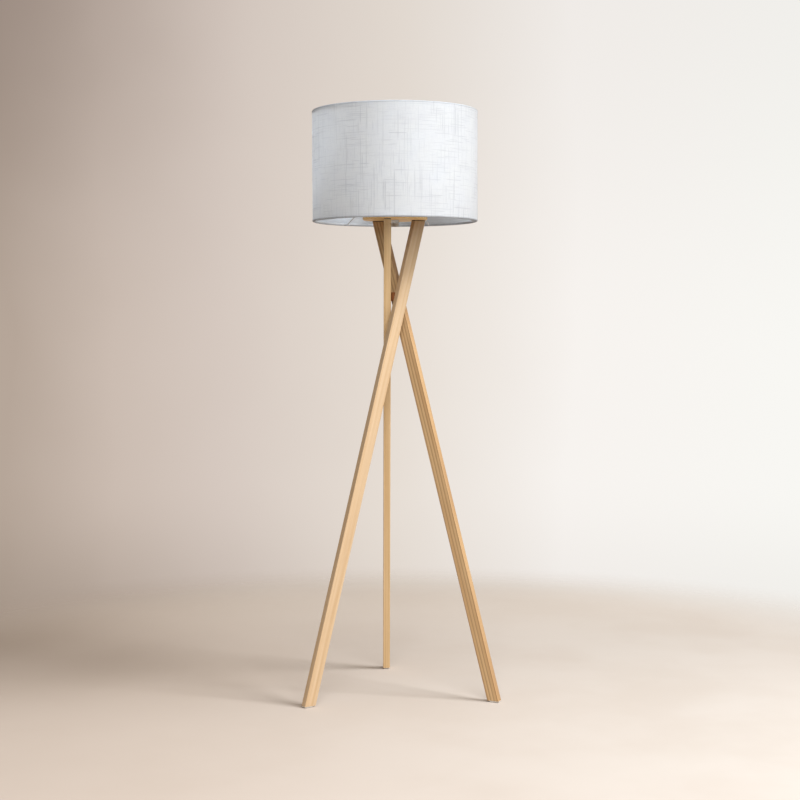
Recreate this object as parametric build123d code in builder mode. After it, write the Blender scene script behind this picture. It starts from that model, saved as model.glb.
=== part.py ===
from build123d import *
import os
from math import atan2, cos, degrees, hypot, radians, sin, tan

# Floor lamp on three crossing wooden legs, with a drum shade and a screw-in bulb.
# Millimetres. +Z is up, the origin is on the floor on the lamp's axis, and the back
# foot lies on +Y. An azimuth is in degrees from the front (-Y), positive to the right.

# ---------------------------------------------------------------- tripod
waist_height = 1000.0  # level at which the legs pass closest to one another
waist_radius = 20.5  # lamp axis to each leg's centre line at the waist
leg_lean = 15.1  # degrees from upright
leg_width = 30.0
leg_thickness = 18.0
leg_edge_radius = 1.2
leg_top = 1213.0
foot_pad_height = 3.5
foot_pad_inset = 1.0
spacer_thickness = 2.0
spacer_inset = 0.8

hub_rise = 9.0  # waist to the underside of the hub
hub_height = 22.0
hub_corner_radius = 15.0
hub_bore = 10.0
pin_diameter = 6.0
pin_depth_in_leg = 10.0
pin_depth_in_hub = 5.0
pin_fit = 0.05

# ---------------------------------------------------------------- top plate
plate_margin = 3.8  # legs' outermost corners to the plate's edge
plate_thickness = 15.0
plate_edge_chamfer = 2.0
bolt_diameter = 6.0
bolt_length = 36.0
bolt_head_diameter = 12.0
bolt_head_height = 3.3
bolt_socket = 4.0  # across flats
bolt_socket_depth = 2.4
bolt_clearance = 0.3
insert_diameter = 10.0
insert_length = 15.0

# ---------------------------------------------------------------- stem
stem_diameter = 10.0
stem_bore = 7.5
stem_clearance = 0.2
washer_diameter = 22.0
washer_thickness = 1.6
nut_across_flats = 17.0
nut_height = 7.0
nut_corner_slope = 30.0  # degrees
relief_diameter = 19.0
relief_height = 8.4
relief_mouth_chamfer = 1.5
cord_hole_diameter = 6.5
cord_hole_length = 4.0
sleeve_diameter = 16.0
sleeve_length = 56.4

# ---------------------------------------------------------------- lampholder
holder_diameter = 39.5
holder_wall = 2.0
cap_height = 22.0
cap_neck_diameter = 20.0
cap_neck_height = 5.0
cap_slope_height = 8.0
shoulder_rise = 32.0  # underside of the cap to the seat of the shade
shoulder_diameter = 46.0
shoulder_thickness = 3.5
skirt_above_shoulder = 26.0
skirt_lip = 1.5
lock_nut_height = 3.0
core_height = 10.0
core_clearance = 0.3
thread_shell_bore = 27.0
thread_shell_wall = 0.5
thread_shell_height = 22.0
terminal_spacing = 18.0
terminal_diameter = 6.0
terminal_height = 5.0
tongue_width = 6.0
tongue_length = 15.0
tongue_thickness = 0.6
tongue_rise = 2.4

# ---------------------------------------------------------------- shade
shade_diameter = 420.0
shade_height = 280.0
cover_thickness = 1.0
liner_thickness = 1.0
frame_wire = 4.0
hem_width = 6.5
carrier_drop = 110.3  # carrier washer down to the lower rim
carrier_diameter = 62.0
carrier_thickness = 2.0
arm_wire = 3.5
wire_sides = 6  # the round wires are drawn with narrow flats
arm_half_spread = 32.3  # degrees from an arm's middle to each of its ends
arm_root_radius = 28.0
arm_root_spread = 26.0  # degrees from an arm's middle to each of its bends
arm_bend_radius = 6.0
arm_end_gap = 0.5
seat_clearance = 0.3
clamp_ring_diameter = 56.0
clamp_ring_height = 9.0
clamp_ring_flutes = 12
flute_diameter = 7.0
thread_clearance = 0.3

# ---------------------------------------------------------------- bulb
contact_clearance = 0.3
bulb_contact_diameter = 9.5
bulb_contact_height = 1.6
bulb_insulator_height = 5.0
bulb_insulator_top = 22.0
bulb_cap_diameter = 26.0
bulb_cap_wall = 0.6
bulb_cap_height = 19.0
bulb_neck_diameter = 28.5
bulb_neck_height = 3.0
housing_height = 42.0
housing_wall = 1.8
bulb_diameter = 60.0
diffuser_wall = 1.4
diffuser_overlap = 14.0  # degrees that the globe reaches below its widest level
board_thickness = 1.6
board_clearance = 0.4

# ---------------------------------------------------------------- places worked out
lean = radians(leg_lean)
leg_places = ("front_left", "front_right", "back")
arm_places = ("left", "right", "back")
third_turn = 360 / len(leg_places)
foot_azimuths = [(index - 0.5) * third_turn for index in range(len(leg_places))]
foot_lag = degrees(atan2(waist_height * tan(lean), waist_radius))
waist_azimuths = [azimuth + foot_lag for azimuth in foot_azimuths]
leg_section_length = leg_width / cos(lean)
leg_top_drift = (leg_top - waist_height) * tan(lean)
inner_face_radius = waist_radius - leg_thickness / 2
hub_bottom = waist_height + hub_rise
pin_height = hub_bottom + hub_height / 2

plate_underside = leg_top + spacer_thickness
plate_radius = plate_margin + hypot(
    waist_radius + leg_thickness / 2,
    leg_top_drift + leg_section_length / 2,
)
plate_top = plate_underside + plate_thickness
bolt_head_top = plate_top - bolt_clearance
nut_bottom = plate_underside - washer_thickness - nut_height
relief_bottom = nut_bottom - relief_height
stem_bottom = relief_bottom + cord_hole_length
stem_hole_diameter = stem_diameter + 2 * stem_clearance
sleeve_bottom = plate_top + washer_thickness
holder_bottom = sleeve_bottom + sleeve_length

cap_top = holder_bottom + cap_height
lock_nut_bottom = holder_bottom + holder_wall
stem_top = lock_nut_bottom + lock_nut_height
seat_level = holder_bottom + shoulder_rise
skirt_top = seat_level + skirt_above_shoulder
skirt_bore = holder_diameter - 2 * holder_wall
core_diameter = skirt_bore - 2 * core_clearance
thread_shell_top = skirt_top - skirt_lip
core_top = thread_shell_top - thread_shell_height
core_bottom = core_top - core_height
tongue_top = core_top + tongue_thickness + tongue_rise

carrier_bottom = seat_level + seat_clearance
carrier_top = carrier_bottom + carrier_thickness
carrier_bore = holder_diameter + 2 * thread_clearance
shade_bottom = carrier_bottom - carrier_drop
shade_top = shade_bottom + shade_height
cover_bore_radius = shade_diameter / 2 - cover_thickness
liner_bore_radius = cover_bore_radius - liner_thickness
frame_ring_radius = liner_bore_radius - frame_wire / 2
lower_ring_level = shade_bottom + cover_thickness + frame_wire / 2
upper_ring_level = shade_top - cover_thickness - frame_wire / 2
arm_end_radius = frame_ring_radius - frame_wire / 2 - arm_end_gap
arm_root_level = carrier_bottom - arm_wire / 2

bulb_bottom = tongue_top + contact_clearance
bulb_cap_bottom = bulb_bottom + bulb_contact_height + bulb_insulator_height
bulb_cap_top = bulb_cap_bottom + bulb_cap_height
neck_top = bulb_cap_top + bulb_neck_height
housing_top = bulb_cap_top + housing_height
diffuser_foot_radius = bulb_diameter / 2 * cos(radians(diffuser_overlap))
diffuser_centre = housing_top + bulb_diameter / 2 * sin(radians(diffuser_overlap))

from_below = (Align.CENTER, Align.CENTER, Align.MIN)
from_above = (Align.CENTER, Align.CENTER, Align.MAX)
os.makedirs("parts", exist_ok=True)


def radial(azimuth):
    """Level direction away from the lamp's axis."""
    return Vector(sin(radians(azimuth)), -cos(radians(azimuth)), 0)


def tangent(azimuth):
    """Level direction round the lamp's axis, towards greater azimuths."""
    return Vector(cos(radians(azimuth)), sin(radians(azimuth)), 0)


def leg_centre(azimuth, height):
    """Point on a leg's centre line; the azimuth is that of its closest point to the axis."""
    drift = (height - waist_height) * tan(lean)
    return radial(azimuth) * waist_radius + tangent(azimuth) * drift + Vector(0, 0, height)


def leg_level(azimuth, height):
    """Level plane on a leg's centre line, with its x along the leg's wide faces."""
    return Plane(origin=leg_centre(azimuth, height), x_dir=tangent(azimuth), z_dir=(0, 0, 1))


def facing_out(azimuth, radius, height):
    """Upright plane at a radius from the lamp's axis, facing away from it."""
    origin = radial(azimuth) * radius + Vector(0, 0, height)
    return Plane(origin=origin, x_dir=tangent(azimuth), z_dir=radial(azimuth))


# ---------------------------------------------------------------- legs and foot pads
# Each leg is a leaning board whose wide faces stay upright. Both ends are cut level.
for place, azimuth in zip(leg_places, waist_azimuths):
    lean_direction = tangent(azimuth) * sin(lean) + Vector(0, 0, cos(lean))

    with BuildPart() as leg:
        with BuildSketch(leg_level(azimuth, foot_pad_height)):
            RectangleRounded(leg_section_length, leg_thickness, leg_edge_radius)
        extrude(amount=(leg_top - foot_pad_height) / cos(lean), dir=lean_direction)
        with BuildSketch(leg_level(azimuth, leg_top)):
            Circle(insert_diameter / 2)
        extrude(amount=-insert_length, mode=Mode.SUBTRACT)
        with BuildSketch(leg_level(azimuth, leg_top)):
            Circle(bolt_diameter / 2 + bolt_clearance)
        extrude(amount=-bolt_length, mode=Mode.SUBTRACT)
        with BuildSketch(facing_out(azimuth, inner_face_radius, pin_height)):
            Circle(pin_diameter / 2 + pin_fit)
        extrude(amount=pin_depth_in_leg, mode=Mode.SUBTRACT)
    leg.part.label = f"leg_{place}"
    export_step(leg.part, f"parts/leg_{place}.step")

    with BuildPart() as foot_pad:
        with BuildSketch(leg_level(azimuth, 0)):
            RectangleRounded(
                leg_section_length - 2 * foot_pad_inset,
                leg_thickness - 2 * foot_pad_inset,
                leg_edge_radius,
            )
        extrude(amount=foot_pad_height)
    foot_pad.part.label = f"foot_pad_{place}"
    export_step(foot_pad.part, f"parts/foot_pad_{place}.step")

# ---------------------------------------------------------------- hub at the waist
# A three-sided block fills the space between the wide faces, just above the waist.
with BuildPart() as waist_hub:
    with BuildSketch(Plane.XY.offset(hub_bottom)):
        RegularPolygon(
            inner_face_radius,
            len(waist_azimuths),
            major_radius=False,
            rotation=waist_azimuths[0] + 90,
        )
        Circle(hub_corner_radius, mode=Mode.INTERSECT)
        Circle(hub_bore / 2, mode=Mode.SUBTRACT)
    extrude(amount=hub_height)
    for azimuth in waist_azimuths:
        with BuildSketch(facing_out(azimuth, inner_face_radius, pin_height)):
            Circle(pin_diameter / 2 + pin_fit)
        extrude(amount=-pin_depth_in_hub, mode=Mode.SUBTRACT)
waist_hub.part.label = "waist_hub"
export_step(waist_hub.part, "parts/waist_hub.step")

with BuildPart() as waist_pins:
    for azimuth in waist_azimuths:
        with BuildSketch(facing_out(azimuth, inner_face_radius - pin_depth_in_hub, pin_height)):
            Circle(pin_diameter / 2)
        extrude(amount=pin_depth_in_hub + pin_depth_in_leg)
waist_pins.part.label = "waist_pins"
export_step(waist_pins.part, "parts/waist_pins.step")

# ---------------------------------------------------------------- top plate and its bolts
with BuildPart() as leg_spacers:
    for azimuth in waist_azimuths:
        with BuildSketch(leg_level(azimuth, leg_top)):
            Rectangle(leg_section_length - 2 * spacer_inset, leg_thickness - 2 * spacer_inset)
            Circle(bolt_diameter / 2 + bolt_clearance, mode=Mode.SUBTRACT)
        extrude(amount=spacer_thickness)
leg_spacers.part.label = "leg_spacers"
export_step(leg_spacers.part, "parts/leg_spacers.step")

with BuildPart() as leg_inserts:
    for azimuth in waist_azimuths:
        with BuildSketch(leg_level(azimuth, leg_top)):
            Circle(insert_diameter / 2 - pin_fit)
            Circle(bolt_diameter / 2 + pin_fit, mode=Mode.SUBTRACT)
        extrude(amount=-insert_length)
leg_inserts.part.label = "leg_inserts"
export_step(leg_inserts.part, "parts/leg_inserts.step")

with BuildPart(Plane.XY.offset(plate_underside)) as top_plate:
    Cylinder(plate_radius, plate_thickness, align=from_below)
    chamfer(top_plate.edges(), plate_edge_chamfer)
    Hole(stem_hole_diameter / 2)
    for azimuth in waist_azimuths:
        bolt_place = leg_centre(azimuth, leg_top)
        with Locations((bolt_place.X, bolt_place.Y, plate_thickness)):
            CounterSinkHole(
                bolt_diameter / 2 + bolt_clearance,
                bolt_head_diameter / 2 + bolt_clearance,
            )
top_plate.part.label = "top_plate"
export_step(top_plate.part, "parts/top_plate.step")

with BuildPart() as leg_bolts:
    for azimuth in waist_azimuths:
        bolt_place = leg_centre(azimuth, leg_top)
        head_plane = Plane.XY.move(Location((bolt_place.X, bolt_place.Y, bolt_head_top)))
        with BuildSketch(head_plane):
            Circle(bolt_diameter / 2)
        extrude(amount=-bolt_length)
        with BuildSketch(head_plane):
            Circle(bolt_head_diameter / 2)
        extrude(amount=-bolt_head_height, taper=45)
        with BuildSketch(head_plane):
            RegularPolygon(bolt_socket / 2, 6, major_radius=False)
        extrude(amount=-bolt_socket_depth, mode=Mode.SUBTRACT)
leg_bolts.part.label = "leg_bolts"
export_step(leg_bolts.part, "parts/leg_bolts.step")

# ---------------------------------------------------------------- stem under and over the plate
with BuildPart(Plane.XY.offset(stem_bottom)) as stem_tube:
    Cylinder(stem_diameter / 2, stem_top - stem_bottom, align=from_below)
    Hole(stem_bore / 2)
stem_tube.part.label = "stem_tube"
export_step(stem_tube.part, "parts/stem_tube.step")

with BuildPart(Plane.XY.offset(plate_underside)) as lower_washer:
    Cylinder(washer_diameter / 2, washer_thickness, align=from_above)
    Hole(stem_hole_diameter / 2)
lower_washer.part.label = "lower_washer"
export_step(lower_washer.part, "parts/lower_washer.step")

with BuildPart() as lower_nut:
    with BuildSketch(Plane.XY.offset(nut_bottom)):
        RegularPolygon(nut_across_flats / 2, 6, major_radius=False)
        Circle(stem_diameter / 2 + pin_fit, mode=Mode.SUBTRACT)
    extrude(amount=nut_height)
    with BuildSketch(Plane.XY.offset(nut_bottom)):
        Circle(nut_across_flats / 2)
    extrude(amount=nut_height, taper=-nut_corner_slope, mode=Mode.INTERSECT)
lower_nut.part.label = "lower_nut"
export_step(lower_nut.part, "parts/lower_nut.step")

with BuildPart(Plane.XY.offset(relief_bottom)) as strain_relief:
    Cylinder(relief_diameter / 2, relief_height, align=from_below)
    chamfer(strain_relief.edges().group_by(Axis.Z)[0], relief_mouth_chamfer)
    Hole(cord_hole_diameter / 2)
    with BuildSketch(Plane.XY.offset(stem_bottom)):
        Circle(stem_diameter / 2 + pin_fit)
    extrude(amount=relief_height - cord_hole_length, mode=Mode.SUBTRACT)
strain_relief.part.label = "strain_relief"
export_step(strain_relief.part, "parts/strain_relief.step")

with BuildPart(Plane.XY.offset(plate_top)) as upper_washer:
    Cylinder(washer_diameter / 2, washer_thickness, align=from_below)
    Hole(stem_hole_diameter / 2)
upper_washer.part.label = "upper_washer"
export_step(upper_washer.part, "parts/upper_washer.step")

with BuildPart(Plane.XY.offset(sleeve_bottom)) as stem_sleeve:
    Cylinder(sleeve_diameter / 2, sleeve_length, align=from_below)
    Hole(stem_hole_diameter / 2)
stem_sleeve.part.label = "stem_sleeve"
export_step(stem_sleeve.part, "parts/stem_sleeve.step")

# ---------------------------------------------------------------- lampholder
# The cap is a cup with a sloping shoulder, and the skirt screws onto it from above.
with BuildPart() as holder_cap:
    with BuildSketch(Plane.XZ):
        with BuildLine():
            Polyline(
                (0, holder_bottom),
                (cap_neck_diameter / 2, holder_bottom),
                (cap_neck_diameter / 2, holder_bottom + cap_neck_height),
                (holder_diameter / 2, holder_bottom + cap_neck_height + cap_slope_height),
                (holder_diameter / 2, cap_top),
                (0, cap_top),
                close=True,
            )
        make_face()
    revolve(axis=Axis.Z)
    with BuildSketch(Plane.XZ):
        with BuildLine():
            Polyline(
                (0, lock_nut_bottom),
                (cap_neck_diameter / 2 - holder_wall, lock_nut_bottom),
                (
                    cap_neck_diameter / 2 - holder_wall,
                    holder_bottom + cap_neck_height + holder_wall / 2,
                ),
                (
                    skirt_bore / 2,
                    holder_bottom + cap_neck_height + cap_slope_height + holder_wall / 2,
                ),
                (skirt_bore / 2, cap_top),
                (0, cap_top),
                close=True,
            )
        make_face()
    revolve(axis=Axis.Z, mode=Mode.SUBTRACT)
    with BuildSketch(Plane.XY.offset(holder_bottom)):
        Circle(stem_diameter / 2 + pin_fit)
    extrude(amount=holder_wall, mode=Mode.SUBTRACT)
holder_cap.part.label = "holder_cap"
export_step(holder_cap.part, "parts/holder_cap.step")

with BuildPart(Plane.XY.offset(lock_nut_bottom)) as lock_nut:
    Cylinder(cap_neck_diameter / 2 - holder_wall - stem_clearance, lock_nut_height, align=from_below)
    Hole(stem_diameter / 2 + pin_fit)
lock_nut.part.label = "lock_nut"
export_step(lock_nut.part, "parts/lock_nut.step")

with BuildPart() as holder_skirt:
    with BuildSketch(Plane.XY.offset(cap_top)):
        Circle(holder_diameter / 2)
        Circle(skirt_bore / 2, mode=Mode.SUBTRACT)
    extrude(amount=skirt_top - cap_top)
    with BuildSketch(Plane.XY.offset(seat_level)):
        Circle(shoulder_diameter / 2)
        Circle(skirt_bore / 2, mode=Mode.SUBTRACT)
    extrude(amount=-shoulder_thickness)
    with BuildSketch(Plane.XY.offset(skirt_top)):
        Circle(skirt_bore / 2)
        Circle(thread_shell_bore / 2 + thread_shell_wall + core_clearance, mode=Mode.SUBTRACT)
    extrude(amount=-skirt_lip)
holder_skirt.part.label = "holder_skirt"
export_step(holder_skirt.part, "parts/holder_skirt.step")

with BuildPart(Plane.XY.offset(core_bottom)) as holder_core:
    Cylinder(core_diameter / 2, core_height, align=from_below)
    with BuildSketch(Plane.XY.offset(core_top)):
        with GridLocations(terminal_spacing, 0, 2, 1):
            Circle(terminal_diameter / 2 + pin_fit)
    extrude(amount=-terminal_height, mode=Mode.SUBTRACT)
holder_core.part.label = "holder_core"
export_step(holder_core.part, "parts/holder_core.step")

with BuildPart() as terminal_screws:
    with BuildSketch(Plane.XY.offset(core_top)):
        with GridLocations(terminal_spacing, 0, 2, 1):
            Circle(terminal_diameter / 2)
    extrude(amount=-terminal_height)
terminal_screws.part.label = "terminal_screws"
export_step(terminal_screws.part, "parts/terminal_screws.step")

with BuildPart(Plane.XY.offset(core_top)) as thread_shell:
    Cylinder(
        thread_shell_bore / 2 + thread_shell_wall,
        thread_shell_top - core_top,
        align=from_below,
    )
    Hole(thread_shell_bore / 2)
thread_shell.part.label = "thread_shell"
export_step(thread_shell.part, "parts/thread_shell.step")

# A sprung strip that rises from the core to the bulb's end contact.
with BuildPart() as centre_tongue:
    with BuildSketch(Plane.XZ.offset(-tongue_width / 2)):
        with BuildLine():
            strip = FilletPolyline(
                (-tongue_length / 2, core_top + tongue_thickness / 2),
                (-tongue_length / 6, core_top + tongue_thickness / 2),
                (tongue_length / 6, tongue_top - tongue_thickness / 2),
                (tongue_length / 2, tongue_top - tongue_thickness / 2),
                radius=tongue_thickness * 2,
            )
            offset(strip, tongue_thickness / 2, side=Side.BOTH)
        make_face()
    extrude(amount=tongue_width)
centre_tongue.part.label = "centre_tongue"
export_step(centre_tongue.part, "parts/centre_tongue.step")

# ---------------------------------------------------------------- shade
# The cloth is rolled round a wire ring at each rim, over a stiff liner.
with BuildPart() as shade_cover:
    with BuildSketch(Plane.XY.offset(shade_bottom)):
        Circle(shade_diameter / 2)
        Circle(cover_bore_radius, mode=Mode.SUBTRACT)
    extrude(amount=shade_height)
    for rim_level, inward in ((shade_bottom, 1), (shade_top, -1)):
        with BuildSketch(Plane.XY.offset(rim_level)):
            Circle(shade_diameter / 2)
            Circle(shade_diameter / 2 - hem_width, mode=Mode.SUBTRACT)
        extrude(amount=inward * cover_thickness)
shade_cover.part.label = "shade_cover"
export_step(shade_cover.part, "parts/shade_cover.step")

with BuildPart(Plane.XY.offset(shade_bottom + cover_thickness)) as shade_liner:
    Cylinder(cover_bore_radius, shade_height - 2 * cover_thickness, align=from_below)
    Hole(liner_bore_radius)
shade_liner.part.label = "shade_liner"
export_step(shade_liner.part, "parts/shade_liner.step")

for place, level in (("lower", lower_ring_level), ("upper", upper_ring_level)):
    with BuildPart() as frame_ring:
        with BuildSketch(Plane.XZ):
            with Locations((frame_ring_radius, level)):
                RegularPolygon(frame_wire / 2, wire_sides, rotation=180 / wire_sides)
        revolve(axis=Axis.Z)
    frame_ring.part.label = f"{place}_frame_ring"
    export_step(frame_ring.part, f"parts/{place}_frame_ring.step")

# The carrier washer sits on the lampholder's shoulder. Each arm is one wire bent under
# the washer, with both of its ends welded to the lower ring.
with BuildPart(Plane.XY.offset(carrier_bottom)) as carrier_washer:
    Cylinder(carrier_diameter / 2, carrier_thickness, align=from_below)
    Hole(carrier_bore / 2)
carrier_washer.part.label = "carrier_washer"
export_step(carrier_washer.part, "parts/carrier_washer.step")

half_spread = radians(arm_half_spread)
root_spread = radians(arm_root_spread)
root_reach = arm_root_radius * cos(root_spread)
end_reach = arm_end_radius * cos(half_spread)
arm_drop = arm_root_level - lower_ring_level

for place, azimuth in zip(arm_places, foot_azimuths):
    root_middle = radial(azimuth) * root_reach + Vector(0, 0, arm_root_level)
    outward = radial(azimuth) * (end_reach - root_reach) - Vector(0, 0, arm_drop)
    arm_plane = Plane(
        origin=root_middle,
        x_dir=tangent(azimuth),
        z_dir=tangent(azimuth).cross(outward),
    )
    with BuildPart() as arm:
        with BuildLine(arm_plane) as bend:
            FilletPolyline(
                (-arm_end_radius * sin(half_spread), outward.length),
                (-arm_root_radius * sin(root_spread), 0),
                (arm_root_radius * sin(root_spread), 0),
                (arm_end_radius * sin(half_spread), outward.length),
                radius=arm_bend_radius,
            )
        with BuildSketch(Plane(origin=bend.line @ 0, z_dir=bend.line % 0)):
            RegularPolygon(arm_wire / 2, wire_sides)
        sweep(path=bend.line)
    arm.part.label = f"shade_arm_{place}"
    export_step(arm.part, f"parts/shade_arm_{place}.step")

# The clamp ring screws down over the skirt and holds the carrier washer on its seat.
with BuildPart(Plane.XY.offset(carrier_top + seat_clearance)) as clamp_ring:
    Cylinder(clamp_ring_diameter / 2, clamp_ring_height, align=from_below)
    Hole(holder_diameter / 2 + thread_clearance)
    with PolarLocations(clamp_ring_diameter / 2 + flute_diameter / 4, clamp_ring_flutes):
        Hole(flute_diameter / 2)
clamp_ring.part.label = "clamp_ring"
export_step(clamp_ring.part, "parts/clamp_ring.step")

# ---------------------------------------------------------------- bulb
with BuildPart(Plane.XY.offset(bulb_bottom)) as bulb_contact:
    Cylinder(bulb_contact_diameter / 2, bulb_contact_height, align=from_below)
bulb_contact.part.label = "bulb_contact"
export_step(bulb_contact.part, "parts/bulb_contact.step")

with BuildPart(Plane.XY.offset(bulb_bottom + bulb_contact_height)) as bulb_insulator:
    Cone(
        bulb_contact_diameter / 2,
        bulb_insulator_top / 2,
        bulb_insulator_height,
        align=from_below,
    )
bulb_insulator.part.label = "bulb_insulator"
export_step(bulb_insulator.part, "parts/bulb_insulator.step")

with BuildPart(Plane.XY.offset(bulb_cap_bottom)) as bulb_cap:
    Cylinder(bulb_cap_diameter / 2, bulb_cap_height, align=from_below)
    Hole(bulb_cap_diameter / 2 - bulb_cap_wall)
bulb_cap.part.label = "bulb_cap"
export_step(bulb_cap.part, "parts/bulb_cap.step")

# The housing plugs into the cap and flares out to carry the board and the globe.
with BuildPart() as bulb_housing:
    with BuildSketch(Plane.XY.offset(bulb_cap_bottom)):
        Circle(bulb_cap_diameter / 2 - bulb_cap_wall)
    extrude(amount=bulb_cap_height)
    with BuildSketch(Plane.XZ):
        with BuildLine():
            neck = Line((bulb_neck_diameter / 2, bulb_cap_top), (bulb_neck_diameter / 2, neck_top))
            flare = Bezier(
                neck @ 1,
                (bulb_neck_diameter / 2, neck_top + housing_height / 3),
                (diffuser_foot_radius, housing_top - housing_height / 3),
                (diffuser_foot_radius, housing_top),
            )
            Polyline(flare @ 1, (0, housing_top), (0, bulb_cap_top), neck @ 0)
        make_face()
    revolve(axis=Axis.Z)
    with BuildSketch(Plane.XY.offset(housing_top)):
        Circle(diffuser_foot_radius - housing_wall)
    extrude(amount=-board_thickness - board_clearance, mode=Mode.SUBTRACT)
bulb_housing.part.label = "bulb_housing"
export_step(bulb_housing.part, "parts/bulb_housing.step")

with BuildPart(Plane.XY.offset(housing_top - board_thickness - board_clearance)) as light_board:
    Cylinder(
        diffuser_foot_radius - housing_wall - board_clearance,
        board_thickness,
        align=from_below,
    )
light_board.part.label = "light_board"
export_step(light_board.part, "parts/light_board.step")

with BuildPart() as bulb_globe:
    with BuildSketch(Plane.XZ):
        with BuildLine():
            outside = CenterArc(
                (0, diffuser_centre),
                bulb_diameter / 2,
                -diffuser_overlap,
                90 + diffuser_overlap,
            )
            inside = CenterArc(
                (0, diffuser_centre),
                bulb_diameter / 2 - diffuser_wall,
                -diffuser_overlap,
                90 + diffuser_overlap,
            )
            Line(outside @ 0, inside @ 0)
            Line(outside @ 1, inside @ 1)
        make_face()
    revolve(axis=Axis.Z)
bulb_globe.part.label = "bulb_globe"
export_step(bulb_globe.part, "parts/bulb_globe.step")
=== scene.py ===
import math
import random

import bpy
from mathutils import Matrix, Vector


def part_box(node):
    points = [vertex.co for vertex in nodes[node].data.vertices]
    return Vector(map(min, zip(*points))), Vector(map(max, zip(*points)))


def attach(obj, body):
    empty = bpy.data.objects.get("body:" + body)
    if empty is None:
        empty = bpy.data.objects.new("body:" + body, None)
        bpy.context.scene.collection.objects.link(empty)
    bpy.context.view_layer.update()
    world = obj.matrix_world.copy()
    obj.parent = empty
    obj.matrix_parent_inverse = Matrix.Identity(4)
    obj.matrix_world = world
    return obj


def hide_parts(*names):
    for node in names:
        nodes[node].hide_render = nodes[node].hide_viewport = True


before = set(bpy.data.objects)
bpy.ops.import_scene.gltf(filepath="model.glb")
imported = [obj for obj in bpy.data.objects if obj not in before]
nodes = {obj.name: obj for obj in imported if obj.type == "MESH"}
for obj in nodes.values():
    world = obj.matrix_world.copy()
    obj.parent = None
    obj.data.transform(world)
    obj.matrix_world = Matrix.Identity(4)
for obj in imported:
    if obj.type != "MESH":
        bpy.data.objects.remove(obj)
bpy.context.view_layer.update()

scene = bpy.context.scene
random.seed(7)

# All lengths are in metres. Azimuths turn round the lamp's axis from the front, positive to the right.
UP = Vector((0, 0, 1))
ALONG_X = Vector((1, 0, 0))
ALONG_Y = Vector((0, 1, 0))


def radial(azimuth):
    """Level direction away from the lamp's axis."""
    return Vector((math.sin(azimuth), -math.cos(azimuth), 0))


def tangent(azimuth):
    """Level direction round the lamp's axis."""
    return Vector((math.cos(azimuth), math.sin(azimuth), 0))


def on_circle(azimuth, radius, level):
    """Point at a radius from the lamp's axis and a level above the floor."""
    return radial(azimuth) * radius + Vector((0, 0, level))


# ---------------------------------------------------------------- camera
CAMERA_AZIMUTH = math.radians(-5.997)
CAMERA_DISTANCE = 3.9356
CAMERA_SIDESTEP = 0.0113
CAMERA_HEIGHT = 0.9657
CAMERA_PITCH = math.radians(3.054)
CAMERA_ROLL = math.radians(-0.16)
CAMERA_LENS = 69.15  # in millimetres, as is the sensor
CAMERA_SENSOR = 36


def make_camera():
    """The one camera, a little below the level of the lamp's waist and looking slightly down."""
    camera_data = bpy.data.cameras.new("camera")
    camera_data.lens = CAMERA_LENS
    camera_data.sensor_width = CAMERA_SENSOR
    camera = bpy.data.objects.new("camera", camera_data)
    scene.collection.objects.link(camera)
    out, side = radial(CAMERA_AZIMUTH), tangent(CAMERA_AZIMUTH)
    back = out * math.cos(CAMERA_PITCH) + UP * math.sin(CAMERA_PITCH)
    top = UP * math.cos(CAMERA_PITCH) - out * math.sin(CAMERA_PITCH)
    right = side * math.cos(CAMERA_ROLL) + top * math.sin(CAMERA_ROLL)
    top = top * math.cos(CAMERA_ROLL) - side * math.sin(CAMERA_ROLL)
    place = out * CAMERA_DISTANCE + side * CAMERA_SIDESTEP + UP * CAMERA_HEIGHT
    axes = Matrix((right, top, back)).transposed().to_4x4()
    camera.matrix_world = Matrix.Translation(place) @ axes
    scene.camera = camera


make_camera()

# ---------------------------------------------------------------- material tools
COLOUR, NUMBER, VECTOR = "NodeSocketColor", "NodeSocketFloat", "NodeSocketVector"


def linear(red, green, blue):
    """Scene colour of a paint-chip value given in 0 to 255."""
    def one(value):
        value /= 255
        return value / 12.92 if value <= 0.04045 else ((value + 0.055) / 1.055) ** 2.4
    return (one(red), one(green), one(blue), 1)


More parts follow.
